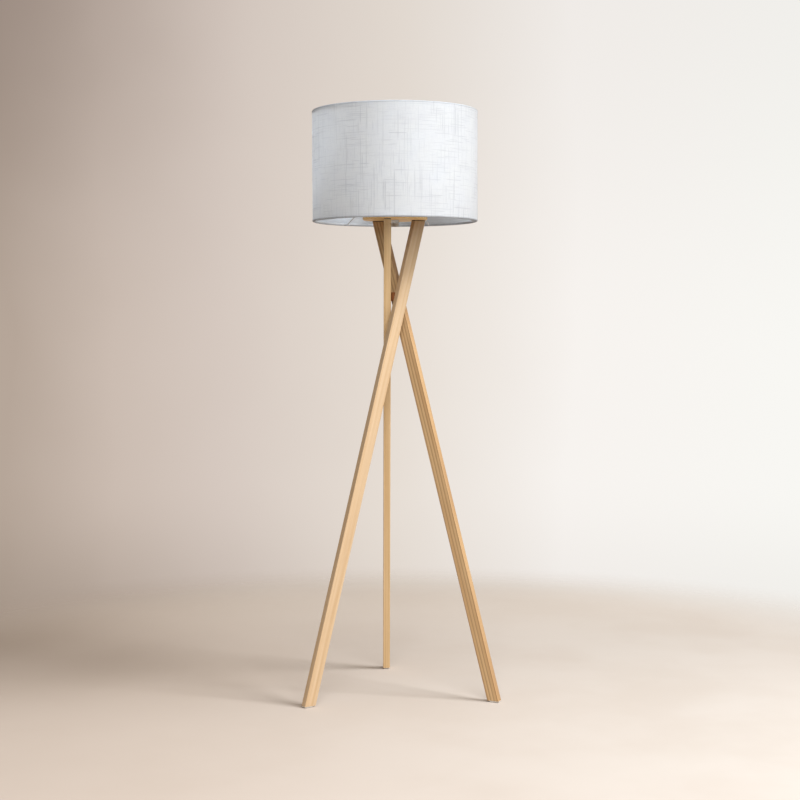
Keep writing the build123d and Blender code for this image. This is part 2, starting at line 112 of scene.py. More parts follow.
class Graph:
    """Short words for wiring nodes in a material, world or node group."""

    def __init__(self, tree):
        self.tree = tree

    def add(self, kind, **settings):
        node = self.tree.nodes.new(kind)
        for name, value in settings.items():
            setattr(node, name, value)
        return node

    def link(self, source, target):
        self.tree.links.new(source, target)

    def feed(self, socket, value):
        """Links a socket to this one, or sets a plain value on it."""
        if isinstance(value, bpy.types.NodeSocket):
            self.link(value, socket)
        else:
            socket.default_value = value

    def math(self, operation, first, second=0.0, third=0.0):
        node = self.add("ShaderNodeMath", operation=operation)
        for socket, value in zip(node.inputs, (first, second, third)):
            self.feed(socket, value)
        return node.outputs[0]

    def vector_math(self, operation, first, second=(0.0, 0.0, 0.0)):
        node = self.add("ShaderNodeVectorMath", operation=operation)
        self.feed(node.inputs[0], first)
        self.feed(node.inputs[1], second)
        return node.outputs

    def dot(self, first, second):
        return self.vector_math("DOT_PRODUCT", first, second)["Value"]

    def scaled(self, vector, factors):
        return self.vector_math("MULTIPLY", vector, factors)["Vector"]

    def noise(self, vector, scale, detail=2.0, roughness=0.5, distortion=0.0):
        node = self.add("ShaderNodeTexNoise")
        self.feed(node.inputs["Vector"], vector)
        self.feed(node.inputs["Scale"], scale)
        self.feed(node.inputs["Detail"], detail)
        self.feed(node.inputs["Roughness"], roughness)
        self.feed(node.inputs["Distortion"], distortion)
        return node.outputs["Fac"]

    def drawn_noise(self, vector, factors, detail=2.0, roughness=0.5, distortion=0.0):
        """Noise with its own scale on each axis, so a low factor draws it out along that axis."""
        return self.noise(self.scaled(vector, factors), 1.0, detail, roughness, distortion)

    def between(self, value, low, high, to_low=0.0, to_high=1.0, smooth=True):
        """Carries the range low to high over to to_low to to_high, and holds it there beyond."""
        node = self.add("ShaderNodeMapRange")
        node.interpolation_type = "SMOOTHSTEP" if smooth else "LINEAR"
        for socket, number in zip(node.inputs, (value, low, high, to_low, to_high)):
            self.feed(socket, number)
        return node.outputs["Result"]

    def mix(self, factor, first, second):
        node = self.add("ShaderNodeMix", data_type="RGBA")
        self.feed(node.inputs["Factor"], factor)
        self.feed(node.inputs[6], first)
        self.feed(node.inputs[7], second)
        return node.outputs[2]

    def mix_shaders(self, factor, first, second):
        node = self.add("ShaderNodeMixShader")
        self.feed(node.inputs[0], factor)
        self.link(first, node.inputs[1])
        self.link(second, node.inputs[2])
        return node.outputs[0]

    def join(self, x, y, z):
        node = self.add("ShaderNodeCombineXYZ")
        for socket, value in zip(node.inputs, (x, y, z)):
            self.feed(socket, value)
        return node.outputs[0]

    def split(self, vector):
        node = self.add("ShaderNodeSeparateXYZ")
        self.feed(node.inputs[0], vector)
        return node.outputs

    def bump(self, height, distance, strength):
        node = self.add("ShaderNodeBump")
        self.feed(node.inputs["Height"], height)
        node.inputs["Distance"].default_value = distance
        node.inputs["Strength"].default_value = strength
        return node.outputs["Normal"]

    def place(self):
        return self.add("ShaderNodeTexCoord").outputs["Object"]

    def show(self, output, shader):
        """Puts a shader on the material's or the world's surface."""
        self.link(shader, self.tree.nodes[output].inputs["Surface"])


def new_material(name, **settings):
    """A material, its graph and its Principled shader with that shader's own sockets set."""
    material = bpy.data.materials.new(name)
    material.use_nodes = True
    shader = material.node_tree.nodes["Principled BSDF"]
    for socket, value in settings.items():
        shader.inputs[socket.replace("_", " ")].default_value = value
    return material, Graph(material.node_tree), shader


def let_light_through(graph, shader, tone, share):
    """Lets a thin material pass a share of the light that falls on its other side."""
    through = graph.add("ShaderNodeBsdfTranslucent")
    graph.feed(through.inputs["Color"], tone)
    graph.show("Material Output", graph.mix_shaders(share, shader.outputs[0], through.outputs[0]))


def new_group(name, takes, gives):
    """A shared effect: a node group with its inputs and outputs."""
    tree = bpy.data.node_groups.new(name, "ShaderNodeTree")
    for label, kind in takes:
        tree.interface.new_socket(label, in_out="INPUT", socket_type=kind)
    for label, kind in gives:
        tree.interface.new_socket(label, in_out="OUTPUT", socket_type=kind)
    graph = Graph(tree)
    return tree, graph, graph.add("NodeGroupInput").outputs, graph.add("NodeGroupOutput").inputs


def use_group(graph, tree, **values):
    """Places a shared effect in a material, with its inputs fed by name."""
    node = graph.add("ShaderNodeGroup")
    node.node_tree = tree
    for label, value in values.items():
        graph.feed(node.inputs[label], value)
    return node.outputs


# ---------------------------------------------------------------- wood
# How often each kind of grain changes in a metre: along the board, across it and through it.
DRIFT_PER_METRE = (1.3, 9.0, 9.0)
WAVER_PER_METRE = (2.6, 30.0, 30.0)
FIBRES_PER_METRE = (9.0, 900.0, 900.0)
STREAKS_PER_METRE = (2.2, 150.0, 150.0)
CLOUDS_PER_METRE = (5.0, 26.0, 26.0)
PORES_PER_METRE = (11.0, 1200.0, 1200.0)
DRIFT_REACH = 0.010  # how far the slow drift moves a ring
WAVER_REACH = 0.0012  # and how far the short waver does
PORE_SHARE = 0.28
FIBRE_SHARE = 0.16
GRAIN_RELIEF = 0.00015


def make_grain_group():
    """Growth rings cut lengthwise, with fine fibres and pores. x runs along the board."""
    tree, graph, given, result = new_group(
        "wood_grain",
        [("Board", VECTOR), ("Pith", VECTOR), ("Rings", NUMBER), ("Spacing", NUMBER),
         ("Pale", COLOUR), ("Light", COLOUR), ("Streak", COLOUR), ("Late", COLOUR)],
        [("Colour", COLOUR), ("Roughness", NUMBER), ("Height", NUMBER)],
    )
    board, late = given["Board"], given["Late"]
    from_pith = graph.vector_math("SUBTRACT", board, given["Pith"])["Vector"]
    reach = graph.vector_math("LENGTH", graph.scaled(from_pith, (0.0, 1.0, 1.0)))["Value"]
    reach = graph.math("MULTIPLY_ADD", graph.drawn_noise(board, DRIFT_PER_METRE), DRIFT_REACH, reach)
    reach = graph.math("MULTIPLY_ADD", graph.drawn_noise(board, WAVER_PER_METRE), WAVER_REACH, reach)
    ring = graph.math("FRACT", graph.math("DIVIDE", reach, given["Spacing"]))
    ring_end = graph.between(ring, 0.86, 1.0)
    before_end = graph.math("SUBTRACT", 1.0, ring_end)
    latewood = graph.math("MULTIPLY", graph.between(ring, 0.35, 0.80), before_end)
    fibre = graph.drawn_noise(board, FIBRES_PER_METRE, 3.0, 0.6)
    streak = graph.drawn_noise(board, STREAKS_PER_METRE, 3.0, 0.55)
    cloud = graph.drawn_noise(board, CLOUDS_PER_METRE)
    pores = graph.between(graph.drawn_noise(board, PORES_PER_METRE, 1.0), 0.66, 0.78)
    tone = graph.mix(cloud, given["Pale"], given["Light"])
    tone = graph.mix(graph.between(streak, 0.35, 0.7, 0.0, 0.8), tone, given["Streak"])
    tone = graph.mix(graph.math("MULTIPLY", latewood, given["Rings"]), tone, late)
    tone = graph.mix(graph.math("MULTIPLY", pores, PORE_SHARE), tone, late)
    tone = graph.mix(graph.between(fibre, 0.3, 0.75, 0.0, FIBRE_SHARE), tone, late)
    graph.feed(result["Colour"], tone)
    graph.feed(result["Roughness"], graph.between(streak, 0.2, 0.8, 0.42, 0.58, smooth=False))
    hollow = graph.math("MULTIPLY", pores, 0.8)
    height = graph.math("SUBTRACT", graph.math("MULTIPLY", fibre, 0.5), hollow)
    graph.feed(result["Height"], graph.math("MULTIPLY_ADD", latewood, 0.25, height))
    return tree


GRAIN = make_grain_group()


def wood(name, origin, along, across, pith, rings, spacing, tones):
    """Lacquered wood whose grain follows one board. tones are pale, light, streak and latewood."""
    material, graph, shader = new_material(
        name, Specular_IOR_Level=0.18, Coat_Weight=0.03, Coat_Roughness=0.35,
    )
    from_origin = graph.vector_math("SUBTRACT", graph.place(), tuple(origin))["Vector"]
    ways = (along, across, along.cross(across))
    board = graph.join(*(graph.dot(from_origin, tuple(way)) for way in ways))
    pale, light, streak, late = (linear(*tone) for tone in tones)
    grain = use_group(
        graph, GRAIN, Board=board, Pith=pith, Rings=rings, Spacing=spacing,
        Pale=pale, Light=light, Streak=streak, Late=late,
    )
    graph.link(grain["Colour"], shader.inputs["Base Color"])
    graph.link(grain["Roughness"], shader.inputs["Roughness"])
    graph.link(graph.bump(grain["Height"], GRAIN_RELIEF, 0.35), shader.inputs["Normal"])
    return material


def board_axes(node):
    """Where a leg's centre line starts, its direction, and the way across it in its upright plane."""
    points = [vertex.co for vertex in nodes[node].data.vertices]
    low, high = (pick(point.z for point in points) for pick in (min, max))
    foot = [point for point in points if point.z < low + 0.001]
    head = [point for point in points if point.z > high - 0.001]
    start = sum(foot, Vector()) / len(foot)
    end = sum(head, Vector()) / len(head)
    along = (end - start).normalized()
    level = Vector((along.x, along.y, 0)).normalized()
    across = (level - along * level.dot(along)).normalized()
    return start, along, across


PALE_BOARD = ((200, 174, 141), (208, 184, 153), (192, 162, 125), (151, 115, 77))
WARM_BOARD = ((203, 170, 126), (212, 183, 140), (190, 153, 109), (136, 98, 65))
MIDDLE_BOARD = ((216, 185, 141), (224, 195, 152), (207, 173, 126), (164, 123, 80))
# Painted shade: the hub's dark brown stands in for the shade that falls between the legs at the waist.
HUB_PAINTED_SHADE_BOARD = ((128, 78, 44), (136, 84, 48), (117, 70, 38), (90, 54, 30))
# Painted light: the plate's tones are lighter than the legs' to make up for the shade's shadow on its
# edge.
PLATE_PAINTED_LIGHT_BOARD = ((246, 210, 150), (250, 218, 162), (236, 192, 128), (172, 124, 76))
# For each leg: where the pith lies in the board's axes, how strong the rings are and how far apart,
# and the board's tones.
LEG_GRAIN = {
    "leg_front_left": ((0.0, 0.012, -0.085), 0.10, 0.0064, PALE_BOARD),
    "leg_front_right": ((0.0, -0.120, 0.006), 0.58, 0.0082, WARM_BOARD),
    "leg_back": ((0.0, 0.006, -0.060), 0.20, 0.0064, MIDDLE_BOARD),
}
# For each block: the way of its grain and the way across it, and then the same values.
BLOCK_GRAIN = {
    "top_plate": (ALONG_X, ALONG_Y, (0.0, 0.03, -0.12), 0.34, 0.0056, PLATE_PAINTED_LIGHT_BOARD),
    "waist_hub": (UP, ALONG_X, (0.0, 0.05, 0.01), 0.35, 0.0056, HUB_PAINTED_SHADE_BOARD),
}
WOODEN = set(LEG_GRAIN) | set(BLOCK_GRAIN)
for leg, grain in LEG_GRAIN.items():
    nodes[leg].data.materials[0] = wood(f"wood_{leg}", *board_axes(leg), *grain)
for block, grain in BLOCK_GRAIN.items():
    low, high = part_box(block)
    nodes[block].data.materials[0] = wood(f"wood_{block}", (low + high) / 2, *grain)


# ---------------------------------------------------------------- other finishes
def make_wear_group():
    """Fine marks of handling, and soft unevenness, at one scale."""
    tree, graph, given, result = new_group(
        "surface_wear", [("Place", VECTOR), ("Grain", NUMBER)],
        [("Cloud", NUMBER), ("Fine", NUMBER), ("Marks", NUMBER)],
    )
    graph.feed(result["Cloud"], graph.noise(given["Place"], 45.0, 3.0))
    graph.feed(result["Fine"], graph.noise(given["Place"], given["Grain"], 3.0, 0.6))
    marks = graph.drawn_noise(given["Place"], (260.0, 1500.0, 420.0), 2.0, 0.5, 0.4)
    graph.feed(result["Marks"], graph.between(marks, 0.62, 0.72))
    return tree


WEAR = make_wear_group()
FINISHES = {}


def make_finish(name, tones, rough, grain, relief, sheer=None, **settings):
    """A finish with two close tones, uneven roughness, a fine relief and, when thin, a sheer share."""
    material, graph, shader = new_material(name, **settings)
    wear = use_group(graph, WEAR, Place=graph.place(), Grain=grain)
    first, second = (linear(*tone) for tone in tones)
    tone = graph.mix(wear["Cloud"], first, second)
    graph.link(tone, shader.inputs["Base Color"])
    roughness = graph.between(wear["Cloud"], 0.25, 0.75, *rough, smooth=False)
    graph.link(graph.math("MULTIPLY_ADD", wear["Marks"], 0.08, roughness), shader.inputs["Roughness"])
    graph.link(graph.bump(wear["Fine"], relief, 0.5), shader.inputs["Normal"])
    if sheer:
        let_light_through(graph, shader, tone, sheer)
    FINISHES[name] = material


make_finish(
    "felt", ((240, 238, 232), (228, 225, 217)), (0.85, 0.95), 3200.0, 0.0004,
    Sheen_Weight=0.35, Sheen_Roughness=0.6,
)
make_finish("black_steel", ((30, 30, 31), (40, 40, 41)), (0.42, 0.55), 2600.0, 0.00008)
make_finish(
    "zinc_steel", ((206, 207, 206), (188, 190, 191)), (0.24, 0.38), 2200.0, 0.00003, Metallic=1.0,
)
make_finish("white_steel", ((226, 226, 224), (216, 216, 215)), (0.34, 0.44), 2400.0, 0.00005)
make_finish(
    "white_plastic", ((232, 232, 230), (224, 224, 222)), (0.36, 0.46), 3000.0, 0.00004, sheer=0.5,
)
make_finish("black_plastic", ((26, 26, 27), (34, 34, 35)), (0.28, 0.40), 3000.0, 0.00004)
make_finish(
    "brass", ((206, 170, 98), (184, 146, 80)), (0.22, 0.36), 2000.0, 0.00003, Metallic=1.0,
)
make_finish(
    "liner_film", ((251, 253, 255), (248, 251, 255)), (0.38, 0.48), 700.0, 0.00004, sheer=0.86,
)
make_finish(
    "board_aluminium", ((200, 201, 203), (180, 182, 185)), (0.3, 0.42), 1800.0, 0.00003,
    Metallic=1.0,
)
make_finish(
    "opal_plastic", ((244, 241, 236), (239, 236, 231)), (0.34, 0.42), 1500.0, 0.00003,
    Subsurface_Weight=0.12, Subsurface_Scale=0.004,
)

# ---------------------------------------------------------------- shade cloth
shade_low, shade_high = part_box("shade_cover")
CLOTH_TONE, CLOTH_BRIGHT = (249, 251, 253), (251, 253, 254)
FLECK_TONE, FLECK_SHARE = (219, 223, 232), 0.13
LINEN_TONE, LINEN_SHARE = (213, 217, 226), 0.15
SLUB_TONE, SLUB_SHARE = (154, 158, 168), 0.34
# Painted shade: a darker tone near each rim stands in for the shade at the rolled edges.
RIM_PAINTED_SHADE_TONE, RIM_PAINTED_SHADE_SHARE = (150, 154, 166), 0.22
RIM_PAINTED_SHADE_EDGE = (0.0058, 0.0036)  # from each rim: where the painted shade over the roll starts, and is full
CLOTH_SHEER = 0.70
CLOTH_RELIEF = 0.00025
# Pitch from thread to thread, length and rarity of the slubs, for the level and the upright ones.
LEVEL_SLUBS = ((0.0019, 0.095, 0.58), (0.0041, 0.150, 0.63))
UPRIGHT_SLUBS = ((0.0021, 0.100, 0.58), (0.0045, 0.160, 0.62))
FINE_WEAVE = (0.0007, 0.02, 0.9)
THREAD_STEP = 7.31  # how far the noise moves on from one thread to the next
STRENGTH_STEP = 3.73  # and how far it moves on for how strong each thread is


def make_slub_group():
    """Irregular thick threads lying one way: a mask that is 1 on a slub. x runs along them."""
    tree, graph, given, result = new_group(
        "slub_threads",
        [("Cloth", VECTOR), ("Pitch", NUMBER), ("Length", NUMBER), ("Rarity", NUMBER)],
        [("Slub", NUMBER), ("Weave", NUMBER)],
    )
    along, across, _ = graph.split(given["Cloth"])
    row = graph.math("DIVIDE", across, given["Pitch"])
    thread = graph.math("FLOOR", row)
    inside = graph.math("PINGPONG", graph.math("FRACT", row), 0.5)
    run = graph.math("DIVIDE", along, given["Length"])
    spot = graph.join(run, graph.math("MULTIPLY", thread, THREAD_STEP), 0.0)
    presence = graph.noise(spot, 1.0, 1.0, 0.4)
    shown = graph.between(presence, given["Rarity"], graph.math("ADD", given["Rarity"], 0.07))
    spot = graph.join(0.0, graph.math("MULTIPLY", thread, STRENGTH_STEP), 5.0)
    strength = graph.between(graph.noise(spot, 1.0, 0.0), 0.3, 0.7, 0.3, 1.0)
    body = graph.math("MULTIPLY", shown, graph.between(inside, 0.08, 0.34))
    graph.feed(result["Slub"], graph.math("MULTIPLY", body, strength))
    graph.feed(result["Weave"], graph.between(inside, 0.0, 0.5))
    return tree


SLUBS = make_slub_group()


def lay_threads(graph, lie, pitch, length, rarity):
    """One set of threads that lie one way on the cloth: its slubs and its weave."""
    return use_group(graph, SLUBS, Cloth=lie, Pitch=pitch, Length=length, Rarity=rarity)


def make_cloth():
    """Pale linen-like cloth: slubs both ways, flecks, a fine weave and painted shade at the rolled
    edges.
    """
    material, graph, shader = new_material(
        "shade_cloth", Roughness=0.88, Sheen_Weight=0.42, Sheen_Roughness=0.45,
    )
    around, up, _ = graph.split(graph.add("ShaderNodeUVMap", uv_map="cloth").outputs["UV"])
    level, upright = graph.join(around, up, 0.0), graph.join(up, around, 0.0)
    threads = [lay_threads(graph, level, *slubs)["Slub"] for slubs in LEVEL_SLUBS]
    threads += [lay_threads(graph, upright, *slubs)["Slub"] for slubs in UPRIGHT_SLUBS]
    slubs = threads[0]
    for thread in threads[1:]:
        slubs = graph.math("MAXIMUM", slubs, thread)
    patches = graph.between(graph.noise(level, 8.0), 0.35, 0.65, 0.35, 1.1)
    slubs = graph.math("MULTIPLY", slubs, patches)
    cloud = graph.noise(level, 26.0, 4.0, 0.6)
    tone = graph.mix(graph.between(cloud, 0.3, 0.7), linear(*CLOTH_TONE), linear(*CLOTH_BRIGHT))
    fleck = graph.drawn_noise(level, (620.0, 620.0, 1.0), 2.0, 0.7)
    tone = graph.mix(graph.between(fleck, 0.45, 0.75, 0.0, FLECK_SHARE), tone, linear(*FLECK_TONE))
    for factors in ((42.0, 780.0, 1.0), (780.0, 42.0, 1.0)):
        linen = graph.drawn_noise(level, factors, 2.0, 0.55)
        tone = graph.mix(graph.between(linen, 0.42, 0.72, 0.0, LINEN_SHARE), tone, linear(*LINEN_TONE))
    tone = graph.mix(graph.math("MULTIPLY", slubs, SLUB_SHARE), tone, linear(*SLUB_TONE))
    _, _, height = graph.split(graph.place())
    # Painted shade near each rim, found from the height alone.
    rolled = graph.math(
        "MAXIMUM",
        graph.between(height, *(shade_low.z + edge for edge in RIM_PAINTED_SHADE_EDGE)),
        graph.between(height, *(shade_high.z - edge for edge in RIM_PAINTED_SHADE_EDGE)),
    )
    tone = graph.mix(graph.math("MULTIPLY", rolled, RIM_PAINTED_SHADE_SHARE), tone, linear(*RIM_PAINTED_SHADE_TONE))
    graph.link(tone, shader.inputs["Base Color"])
    weave = [lay_threads(graph, lie, *FINE_WEAVE)["Weave"] for lie in (level, upright)]
    relief = graph.math("MULTIPLY", graph.math("ADD", *weave), 0.35)
    relief = graph.math("MULTIPLY_ADD", slubs, 0.8, relief)
    graph.link(graph.bump(relief, CLOTH_RELIEF, 0.55), shader.inputs["Normal"])
    let_light_through(graph, shader, tone, CLOTH_SHEER)
    FINISHES["shade_cloth"] = material


make_cloth()

# Each solid that isn't wooden gets the finish that its slot names.
for node in nodes.values():
    if node.name not in WOODEN:
        node.data.materials[0] = FINISHES[node.data.materials[0].name.split(".")[0]]


# ---------------------------------------------------------------- making pieces
def new_piece(name, points, faces, slot=None, body=None, replaced=None, charts=None, crease=40):
    """A mesh that rides on a body and has its slot's finish. It stays sharp over crease degrees."""
    mesh = bpy.data.meshes.new(name)
    mesh.from_pydata(points, [], faces)
    mesh.validate()
    if charts:
        layer = mesh.uv_layers.new(name="cloth")
        for loop in mesh.loops:
            layer.data[loop.index].uv = charts[loop.vertex_index]
    piece = bpy.data.objects.new(name, mesh)
    scene.collection.objects.link(piece)
    mesh.shade_smooth()
    mesh.set_sharp_from_angle(angle=math.radians(crease))
    if slot:
        mesh.materials.append(FINISHES[slot])
        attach(piece, body)
    if replaced:
        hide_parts(replaced)
    return piece


def grid_faces(rows, columns, join_rows=False, join_columns=False, first=0):
    """Four-sided faces between the points of a grid, whose last row or column may meet the first."""
    faces = []
    for row in range(rows if join_rows else rows - 1):
        for column in range(columns if join_columns else columns - 1):
            next_row, next_column = (row + 1) % rows, (column + 1) % columns
            faces.append((
                first + row * columns + column, first + row * columns + next_column,
                first + next_row * columns + next_column, first + next_row * columns + column,
            ))
    return faces


def end_caps(rows, columns, first=0):
    """One face over the first row of a grid and one over its last."""
    last = first + (rows - 1) * columns
    return [
        tuple(first + column for column in reversed(range(columns))),
        tuple(last + column for column in range(columns)),
    ]


def round_wire(path, radius, closed):
    """Points and faces of a round wire along a path, with flat ends when open."""
    count, sides, points = len(path), 14, []
    normal = None
    for index, centre in enumerate(path):
        before = path[index - 1] if closed or index else centre
        after = path[(index + 1) % count] if closed or index < count - 1 else centre
        direction = (after - before).normalized()
        normal = normal or direction.orthogonal()
        normal = (normal - direction * normal.dot(direction)).normalized()
        side = direction.cross(normal)
        for step in range(sides):
            turn = math.tau * step / sides
            points.append(centre + (normal * math.cos(turn) + side * math.sin(turn)) * radius)
    faces = grid_faces(count, sides, join_rows=closed, join_columns=True)
    if not closed:
        faces += end_caps(count, sides)
    return points, faces


BEAD_SWELL = (0.9, 1.1)  # least and greatest share of a bead's size at any point of it
BEAD_FLATNESS = 0.8


def weld_bead(centre, size, first):
    """A lumpy, slightly flat blob of weld metal."""
    rows, columns, points = 7, 12, []
    for row in range(rows):
        rise = math.pi * (row + 0.5) / rows
        for column in range(columns):
            turn = math.tau * column / columns
            swell = size * random.uniform(*BEAD_SWELL)
            way = Vector((
                math.sin(rise) * math.cos(turn), math.sin(rise) * math.sin(turn),
                math.cos(rise) * BEAD_FLATNESS,
            ))
            points.append(centre + way * swell)
    faces = grid_faces(rows, columns, join_columns=True, first=first)
    return points, faces + end_caps(rows, columns, first)


# ---------------------------------------------------------------- shade
SHADE_RADIUS = (shade_high.x - shade_low.x) / 2
ring_low, ring_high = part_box("lower_frame_ring")
upper_low, upper_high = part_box("upper_frame_ring")
LOWER_LEVEL = (ring_low.z + ring_high.z) / 2
UPPER_LEVEL = (upper_low.z + upper_high.z) / 2
WALL_THICKNESS = 0.002  # cover and liner together
WIRE_RADIUS = (ring_high.z - ring_low.z) / 2
LINER_BORE = SHADE_RADIUS - WALL_THICKNESS
RING_RADIUS = LINER_BORE - WIRE_RADIUS
CLOTH_THICKNESS = 0.0008
CLOTH_CLEARANCE = 0.0001
CLOTH_WALL = SHADE_RADIUS - CLOTH_THICKNESS / 2 - CLOTH_CLEARANCE
TUCK_ANGLE = math.radians(62)  # how far the cloth's edge is tucked round behind the wire
SEAM_AZIMUTH = math.radians(-148)
SEAM_OVERLAP = 0.012
SEAM_SLOPE = 0.004  # length over which the outer end climbs onto the inner one
SEAM_LIFT = CLOTH_THICKNESS * 1.05
ROLL_BULGE = 0.0005
CLOTH_WAVES = ((0.00012, 5, 21), (0.00008, 13, -34))  # height, count round the shade, and slant
RIM_ROWS = (0.0008, 0.0016, 0.0024, 0.0032, 0.0042, 0.0055, 0.0075, 0.011)  # from a wire's level
MIDDLE_ROWS = 24


def rim_turn(level, outward):
    """Cloth line from the wall over a rim wire and round behind it. outward is -1 for the lower."""
    inner = RING_RADIUS - WIRE_RADIUS - CLOTH_THICKNESS / 2 - CLOTH_CLEARANCE
    rim = shade_low.z if outward < 0 else shade_high.z
    edge = abs(level - rim) - CLOTH_THICKNESS / 2
    tuck = WIRE_RADIUS + CLOTH_THICKNESS
    quarter, steps, tuck_steps = math.pi / 2, 8, 5
    line = []
    for step in range(steps + 1):
        turn = quarter * step / steps
        reach = RING_RADIUS + (CLOTH_WALL - RING_RADIUS) * math.cos(turn)
        line.append((reach, level + outward * edge * math.sin(turn)))
    for step in range(1, steps + 1):
        turn = quarter * step / steps
        reach = RING_RADIUS - (RING_RADIUS - inner) * math.sin(turn)
        line.append((reach, level + outward * edge * math.cos(turn)))
    for step in range(1, tuck_steps + 1):
        turn = TUCK_ANGLE * step / tuck_steps
        reach = RING_RADIUS - (RING_RADIUS - inner) * math.cos(turn)
        line.append((reach, level - outward * tuck * math.sin(turn)))
    return line


def cloth_line():
    """Radius and level of the cloth, from one tucked edge up the wall to the other."""
    height = UPPER_LEVEL - LOWER_LEVEL
    levels = [LOWER_LEVEL + rise for rise in RIM_ROWS]
    levels += [LOWER_LEVEL + height * row / MIDDLE_ROWS for row in range(2, MIDDLE_ROWS - 1)]
    levels += [UPPER_LEVEL - rise for rise in reversed(RIM_ROWS)]
    wall = [(CLOTH_WALL, level) for level in levels]
    return list(reversed(rim_turn(LOWER_LEVEL, -1))) + wall + rim_turn(UPPER_LEVEL, 1)


def cloth_ripple(azimuth, level):
    """How far the cloth's wall swells: slight waves all round, and a bulge over each wire."""
    waves = sum(
        height * math.sin(azimuth * count + level * slant) for height, count, slant in CLOTH_WAVES
    )
    from_wire = min(abs(level - LOWER_LEVEL), abs(level - UPPER_LEVEL))
    return waves + ROLL_BULGE * math.exp(-(from_wire / WIRE_RADIUS) ** 2)


def make_shade_cloth():
    """One strip of cloth round the shade, lapped at the seam and rolled over both wires."""
    line = cloth_line()
    lengths = [0.0]
    for point, following in zip(line, line[1:]):
        lengths.append(lengths[-1] + math.dist(point, following))
    around = 360
    sweep = math.tau + SEAM_OVERLAP / SHADE_RADIUS
    points, charts = [], []
    for column in range(around + 1):
        swept = sweep * column / around
        azimuth = SEAM_AZIMUTH + swept
        climbed = (swept - math.tau) * SHADE_RADIUS / SEAM_SLOPE + 1.0
        lift = SEAM_LIFT * min(max(climbed, 0.0), 1.0)
        for (radius, level), length in zip(line, lengths):
            reach = radius + (lift if radius > RING_RADIUS else -lift)
            if radius > LINER_BORE:
                reach += cloth_ripple(azimuth, level)
            points.append(on_circle(azimuth, reach, level))
            charts.append((swept * SHADE_RADIUS, length))
    cloth = new_piece(
        "shade_cloth", points, grid_faces(around + 1, len(line)), "shade_cloth", "shade",
        "shade_cover", charts, crease=60,
    )
    thick = cloth.modifiers.new("thickness", "SOLIDIFY")
    thick.thickness = CLOTH_THICKNESS
    thick.offset = 0


make_shade_cloth()

# ---------------------------------------------------------------- rim wires and arms
RING_STEPS = 192
RING_JOINT = RING_STEPS // 2 + 5  # the step at which a ring's ends are welded together
RING_BEAD = WIRE_RADIUS * 1.12
ARM_BEAD = WIRE_RADIUS * 1.05
WIRE_CLEARANCE = 0.00005
ARM_WIRE = 0.0035
ARM_ROOT_RADIUS = 0.028
ARM_ROOT_SPREAD = math.radians(26)
ARM_HALF_SPREAD = math.radians(32.3)
ARM_BEND = 0.006
ARM_AZIMUTHS = {"left": -60, "right": 60, "back": 180}
ARM_END_RADIUS = RING_RADIUS - WIRE_RADIUS * 0.6  # a little inside the ring's centre line
washer_low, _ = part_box("carrier_washer")


def make_ring(node, level):
    """A rim wire bent round, with the bead that closes it."""
    path = [
        on_circle(math.tau * step / RING_STEPS, RING_RADIUS, level) for step in range(RING_STEPS)
    ]
    points, faces = round_wire(path, WIRE_RADIUS - WIRE_CLEARANCE, True)
    bead_points, bead_faces = weld_bead(path[RING_JOINT], RING_BEAD, len(points))
    new_piece(
        f"{node}_wire", points + bead_points, faces + bead_faces, "white_steel", "shade", node,
    )


def rounded_corner(before, corner, after, steps=8):
    """Points of a circular bend that takes the place of a corner."""
    into, out = (before - corner).normalized(), (after - corner).normalized()
    half = into.angle(out) / 2
    centre = corner + (into + out).normalized() * (ARM_BEND / math.sin(half))
    start, end = (
        (corner + way * (ARM_BEND / math.tan(half)) - centre).normalized() for way in (into, out)
    )
    return [
        centre + start.slerp(end, step / steps).normalized() * ARM_BEND
        for step in range(steps + 1)
    ]


def make_arm(place, azimuth):
    """One bent wire from the lower rim to the washer and back, welded to the rim at both ends."""
    turn = math.radians(azimuth)
    root_level = washer_low.z - ARM_WIRE / 2

    def corner(radius, spread, level):
        return (radial(turn) * radius * math.cos(spread)
                + tangent(turn) * radius * math.sin(spread) + Vector((0, 0, level)))

    ends = [corner(ARM_END_RADIUS, side * ARM_HALF_SPREAD, LOWER_LEVEL) for side in (-1, 1)]
    roots = [corner(ARM_ROOT_RADIUS, side * ARM_ROOT_SPREAD, root_level) for side in (-1, 1)]
    path = [ends[0], ends[0].lerp(roots[0], 0.5)]
    path += rounded_corner(ends[0], roots[0], roots[1])
    path += rounded_corner(roots[0], roots[1], ends[1])
    path += [ends[1].lerp(roots[1], 0.5), ends[1]]
    points, faces = round_wire(path, ARM_WIRE / 2, False)
    for end in ends:
        bead_points, bead_faces = weld_bead(end, ARM_BEAD, len(points))
        points, faces = points + bead_points, faces + bead_faces
    node = f"shade_arm_{place}"
    new_piece(f"{node}_wire", points, faces, "white_steel", "shade", node)


make_ring("lower_frame_ring", LOWER_LEVEL)
make_ring("upper_frame_ring", UPPER_LEVEL)
for place, azimuth in ARM_AZIMUTHS.items():
    make_arm(place, azimuth)

# ---------------------------------------------------------------- threaded tubes
THREAD_PITCH = 0.0036
THREAD_DEPTH = 0.0003
THREAD_ROWS = 10  # rows of points to each turn of the thread


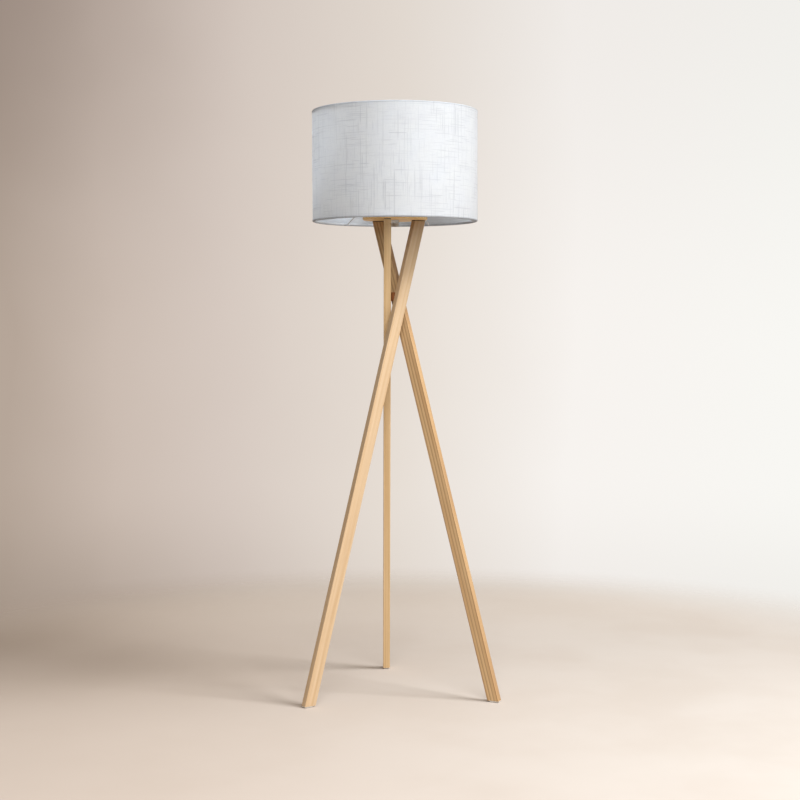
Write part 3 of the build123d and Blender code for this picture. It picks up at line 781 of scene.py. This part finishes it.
def threaded_tube(node, name, slot, body, crest, bore):
    """A tube in its CAD node's place, with a rounded thread rolled into its outside."""
    low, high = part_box(node)
    height = high.z - low.z
    around, rows = 72, int(height / THREAD_PITCH * THREAD_ROWS)
    points = []
    for row in range(rows + 1):
        rise = height * row / rows
        fade = max(min(rise / THREAD_PITCH, (height - rise) / THREAD_PITCH, 1.0), 0.0)
        for column in range(around):
            share = column / around
            wave = 0.5 - 0.5 * math.cos(math.tau * (rise / THREAD_PITCH - share))
            radius = crest - THREAD_DEPTH * wave * fade
            points.append(on_circle(math.tau * share, radius, low.z + rise))
    faces = grid_faces(rows + 1, around, join_columns=True)
    upper, lower = len(points), len(points) + around
    for level in (high.z, low.z):
        for column in range(around):
            points.append(on_circle(math.tau * column / around, bore, level))
    for column in range(around):
        follow = (column + 1) % around
        top = rows * around
        faces.append((top + column, top + follow, upper + follow, upper + column))
        faces.append((upper + column, upper + follow, lower + follow, lower + column))
        faces.append((lower + column, lower + follow, follow, column))
    new_piece(name, points, faces, slot, body, node)


threaded_tube("thread_shell", "thread_shell_rolled", "brass", "stand", crest=0.0140, bore=0.0135)
threaded_tube("bulb_cap", "bulb_cap_rolled", "zinc_steel", "bulb", crest=0.0130, bore=0.0124)

# ---------------------------------------------------------------- felt pads
PAD_CORNER = 0.22  # power of the rounded outline: 1 is an oval, 0 is a rectangle
PAD_UNDERCUT = 0.24  # share by which a pad draws in at the floor
PAD_UNDERCUT_TOP = 0.55  # share of its height over which it does so
PAD_TOP_ROUNDING = 0.04
PAD_FUZZ = (0.992, 1.0)


def rounded_side(value):
    """A circle's sine or cosine pushed out towards the side of a rectangle."""
    return math.copysign(abs(value) ** PAD_CORNER, value)


def make_felt_pad(place):
    """A fuzzy pad in its CAD node's place, square to its leg, that draws in towards the floor."""
    node = f"foot_pad_{place}"
    _, _, across = board_axes(f"leg_{place}")
    level = Vector((across.x, across.y, 0)).normalized()
    other = Vector((-level.y, level.x, 0))
    low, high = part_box(node)
    middle = (low + high) / 2
    width, depth = (
        max(abs((vertex.co - middle).dot(way)) for vertex in nodes[node].data.vertices)
        for way in (level, other)
    )
    rows, sides, points = 9, 64, []
    for row in range(rows):
        rise = row / (rows - 1)
        under = max(0.0, 1.0 - rise / PAD_UNDERCUT_TOP)
        bulge = 1.0 - PAD_TOP_ROUNDING * rise ** 4 - PAD_UNDERCUT * under ** 0.6
        centre = Vector((middle.x, middle.y, low.z + (high.z - low.z) * rise))
        for step in range(sides):
            turn = math.tau * step / sides
            fuzz = bulge * random.uniform(*PAD_FUZZ)
            points.append(
                centre + level * width * rounded_side(math.cos(turn)) * fuzz
                + other * depth * rounded_side(math.sin(turn)) * fuzz
            )
    faces = grid_faces(rows, sides, join_columns=True) + end_caps(rows, sides)
    new_piece(f"felt_pad_{place}", points, faces, "felt", "stand", node)


for place in ("front_left", "front_right", "back"):
    make_felt_pad(place)

# ---------------------------------------------------------------- solids shown as they are
SOLID_CREASE = math.radians(32)
for node in nodes.values():
    node.data.shade_smooth()
    node.data.set_sharp_from_angle(angle=SOLID_CREASE)

# ---------------------------------------------------------------- floor
FLOOR_CLEAR, FLOOR_FADE = 1.30, 2.05  # radii between which the floor fades into the backdrop
FLOOR_RADII = (0.02, 0.2, 0.5, 0.9, FLOOR_CLEAR, 1.7, FLOOR_FADE + 0.05)
FLOOR_LEVEL = -0.0004  # just under the pads
# Painted light and shade in the paper: darker to the left and lighter to the right, as the light
# falls.
PAPER_LEFT, PAPER_RIGHT = (191, 180, 171), (202, 197, 192)
PAPER_CLOUD = (182, 170, 159)
# Painted shade for the back left of the floor, and painted light for its back.
PAPER_PAINTED_SHADE, PAPER_PAINTED_LIGHT = (141, 127, 115), (216, 208, 200)


def make_paper():
    """Pale studio paper with painted light and shade: darker to the left and towards the back left,
    lighter to the right and towards the back; clear from below and past its edge.
    """
    material, graph, shader = new_material("studio_paper", Roughness=0.95, Specular_IOR_Level=0.2)
    place = graph.place()
    x, y, _ = graph.split(place)
    # Painted shade to the left and painted light to the right.
    paper = graph.mix(graph.between(x, -0.9, 0.9), linear(*PAPER_LEFT), linear(*PAPER_RIGHT))
    cloud = graph.noise(place, 2.2, 4.0, 0.55)
    paper = graph.mix(graph.between(cloud, 0.35, 0.7, 0.0, 0.25), paper, linear(*PAPER_CLOUD))
    # Painted shade: the paper darkens towards the back left.
    painted_shade_mask = graph.math("MULTIPLY", graph.between(y, -0.4, 0.4), graph.between(x, 0.5, -1.1, 0.2, 1.0))
    paper = graph.mix(graph.math("MULTIPLY", painted_shade_mask, 0.36), paper, linear(*PAPER_PAINTED_SHADE))
    # Painted light: the paper lightens towards the back, less so to the left.
    far = graph.math("MULTIPLY", graph.between(y, 0.4, 1.4), graph.between(x, -1.1, -0.2, 0.0, 0.5))
    paper = graph.mix(far, paper, linear(*PAPER_PAINTED_LIGHT))
    graph.link(paper, shader.inputs["Base Color"])
    graph.link(graph.bump(graph.noise(place, 300.0, 3.0), 0.0004, 0.15), shader.inputs["Normal"])
    squares = [graph.math("MULTIPLY", side, side) for side in (x, y)]
    reach = graph.math("SQRT", graph.math("ADD", *squares))
    below = graph.add("ShaderNodeNewGeometry").outputs["Backfacing"]
    unseen = graph.math("MAXIMUM", graph.between(reach, FLOOR_CLEAR, FLOOR_FADE), below)
    clear = graph.add("ShaderNodeBsdfTransparent").outputs[0]
    graph.show("Material Output", graph.mix_shaders(unseen, shader.outputs[0], clear))
    return material


def make_floor():
    """A round paper floor that fades into the backdrop on every side."""
    around = 96
    points = [
        on_circle(math.tau * column / around, radius, FLOOR_LEVEL)
        for radius in FLOOR_RADII for column in range(around)
    ]
    faces = grid_faces(len(FLOOR_RADII), around, join_columns=True)
    faces.append(tuple(reversed(range(around))))
    floor = new_piece("studio_floor", points, faces)
    if floor.data.polygons[0].normal.z < 0:
        floor.data.flip_normals()
    floor.data.materials.append(make_paper())


make_floor()

# ---------------------------------------------------------------- backdrop
# The wall's tones from left to right, painted light and shade that run from darker on the left to
# lighter on the right, each with its place between 0 and 1 over the wall's spread.
WALL_TONES = (
    (0.0, (182, 166, 153)), (0.12, (203, 188, 177)), (0.27, (214, 201, 192)),
    (0.5, (231, 222, 213)), (0.72, (247, 243, 239)), (1.0, (248, 247, 243)),
)
WALL_SPREAD = 0.25  # sine of the angle from the middle of the view to either end of the tones
WALL_UNEVENNESS = 0.07
PAINTED_CORNER_SHADE = (134, 118, 110)
PAINTED_FOOT_SHADE = (152, 137, 124)
AWAY_TONE = (226, 217, 208)
EVEN_LIGHT = (243, 219, 190)


def wall_ramp(graph, sideways):
    """The wall's tone along its width."""
    ramp = graph.add("ShaderNodeValToRGB")
    elements = ramp.color_ramp.elements
    for index, (position, tone) in enumerate(WALL_TONES):
        stop = elements[index] if index < 2 else elements.new(position)
        stop.position = position
        stop.color = linear(*tone)
    graph.link(graph.between(sideways, -WALL_SPREAD, WALL_SPREAD, smooth=False), ramp.inputs[0])
    return ramp.outputs["Color"]


def make_backdrop():
    """A studio wall with painted light and shade, darker at its upper left and its foot and lighter to
    the right, and a warm light that comes from all round, more from overhead and from the right."""
    world = bpy.data.worlds.new("studio")
    scene.world = world
    world.use_nodes = True
    graph = Graph(world.node_tree)
    way = graph.add("ShaderNodeTexCoord").outputs["Generated"]
    _, _, rise = graph.split(way)
    sideways = graph.dot(way, tuple(tangent(CAMERA_AZIMUTH)))
    sideways = graph.math("SUBTRACT", sideways, WALL_UNEVENNESS / 2)
    cloud = graph.noise(way, 3.2, 4.0, 0.6)
    sideways = graph.math("MULTIPLY_ADD", cloud, WALL_UNEVENNESS, sideways)
    # Painted shade at the wall's upper left corner.
    left = graph.between(sideways, -0.08, -0.27, 0.09, 0.62)
    corner = graph.math("MULTIPLY", graph.between(rise, -0.03, 0.22), left)
    tone = graph.mix(corner, wall_ramp(graph, sideways), linear(*PAINTED_CORNER_SHADE))
    # Painted shade at the wall's foot, more to the left.
    left = graph.between(sideways, 0.0, -0.25, 0.11, 0.60)
    foot = graph.math("MULTIPLY", graph.between(rise, -0.10, -0.20), left)
    tone = graph.mix(foot, tone, linear(*PAINTED_FOOT_SHADE))
    away = graph.between(graph.math("ABSOLUTE", sideways), 0.35, 0.8)
    wall = world.node_tree.nodes["Background"]
    graph.link(graph.mix(away, tone, linear(*AWAY_TONE)), wall.inputs["Color"])
    even = graph.add("ShaderNodeBackground")
    even.inputs["Color"].default_value = linear(*EVEN_LIGHT)
    overhead = graph.between(rise, 0.05, 0.95, 0.16, 0.52)
    side_share = graph.between(sideways, -0.8, 0.8, 0.5, 1.4, smooth=False)
    graph.link(graph.math("MULTIPLY", overhead, side_share), even.inputs["Strength"])
    ray = graph.add("ShaderNodeLightPath").outputs
    seen = graph.math("MAXIMUM", ray["Is Camera Ray"], ray["Is Glossy Ray"])
    graph.show("World Output", graph.mix_shaders(seen, even.outputs[0], wall.outputs[0]))


make_backdrop()

# ---------------------------------------------------------------- light
LIGHT_COLOUR = (0.985, 0.993, 1.0)
LIGHT_DISTANCE = 5.0
LIGHT_AIM = Vector((0, 0, 0.85))


def soft_box(name, azimuth, rise, size, watts):
    """A square soft light aimed at the lamp from an azimuth and a rise in degrees."""
    turn, lift = math.radians(azimuth), math.radians(rise)
    light = bpy.data.lights.new(name, "AREA")
    light.shape = "SQUARE"
    light.size = size
    light.energy = watts
    light.color = LIGHT_COLOUR
    way = radial(turn) * math.cos(lift) + UP * math.sin(lift)
    lamp = bpy.data.objects.new(name, light)
    lamp.location = LIGHT_AIM + way * LIGHT_DISTANCE
    lamp.rotation_euler = (LIGHT_AIM - lamp.location).to_track_quat("-Z", "Y").to_euler()
    scene.collection.objects.link(lamp)


soft_box("side_light", azimuth=60, rise=48, size=1.8, watts=288)
soft_box("front_light", azimuth=2, rise=27, size=3.4, watts=214)
scene.view_settings.view_transform = "Standard"

bpy.context.view_layer.update()
